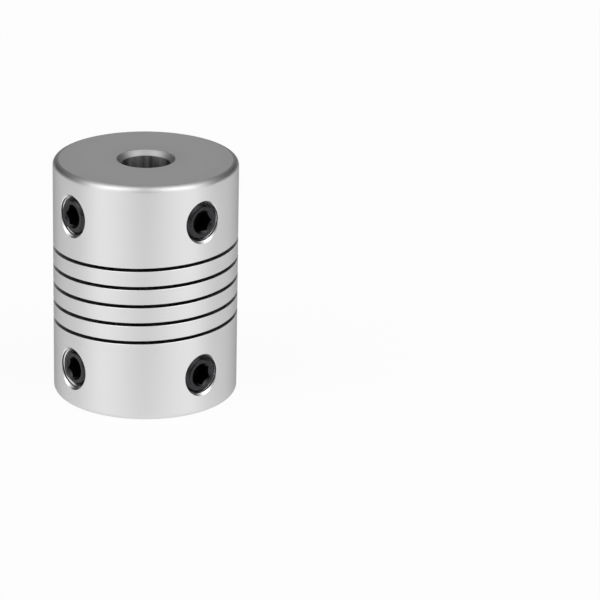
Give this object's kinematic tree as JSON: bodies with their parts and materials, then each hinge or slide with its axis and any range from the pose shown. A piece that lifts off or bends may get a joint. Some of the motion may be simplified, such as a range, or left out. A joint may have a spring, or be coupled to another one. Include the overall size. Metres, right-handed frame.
{
  "type": "flexible coupling",
  "caption": "Cylindrical aluminium shaft coupling whose helical slit lets it bend, with set screws that clamp a thin shaft at one end and a thicker one at the other.",
  "frame": {"origin": "centre of the lower end face, the one with the 8 mm bore, on the axis of the coupling", "axes": "+Z along the shafts towards the 5 mm bore; -Y and -X point out of the set screws"},
  "size_m": [0.019, 0.019, 0.025],
  "materials": {
    "turned_aluminium": "fine turned and polished, clear",
    "black_oxide_steel": "black oxide, slightly oily"
  },
  "bodies": {
    "root": {"body": "turned_aluminium", "top_front_set_screw": "black_oxide_steel", "top_left_set_screw": "black_oxide_steel", "bottom_front_set_screw": "black_oxide_steel", "bottom_left_set_screw": "black_oxide_steel"}
  },
  "joints": []
}
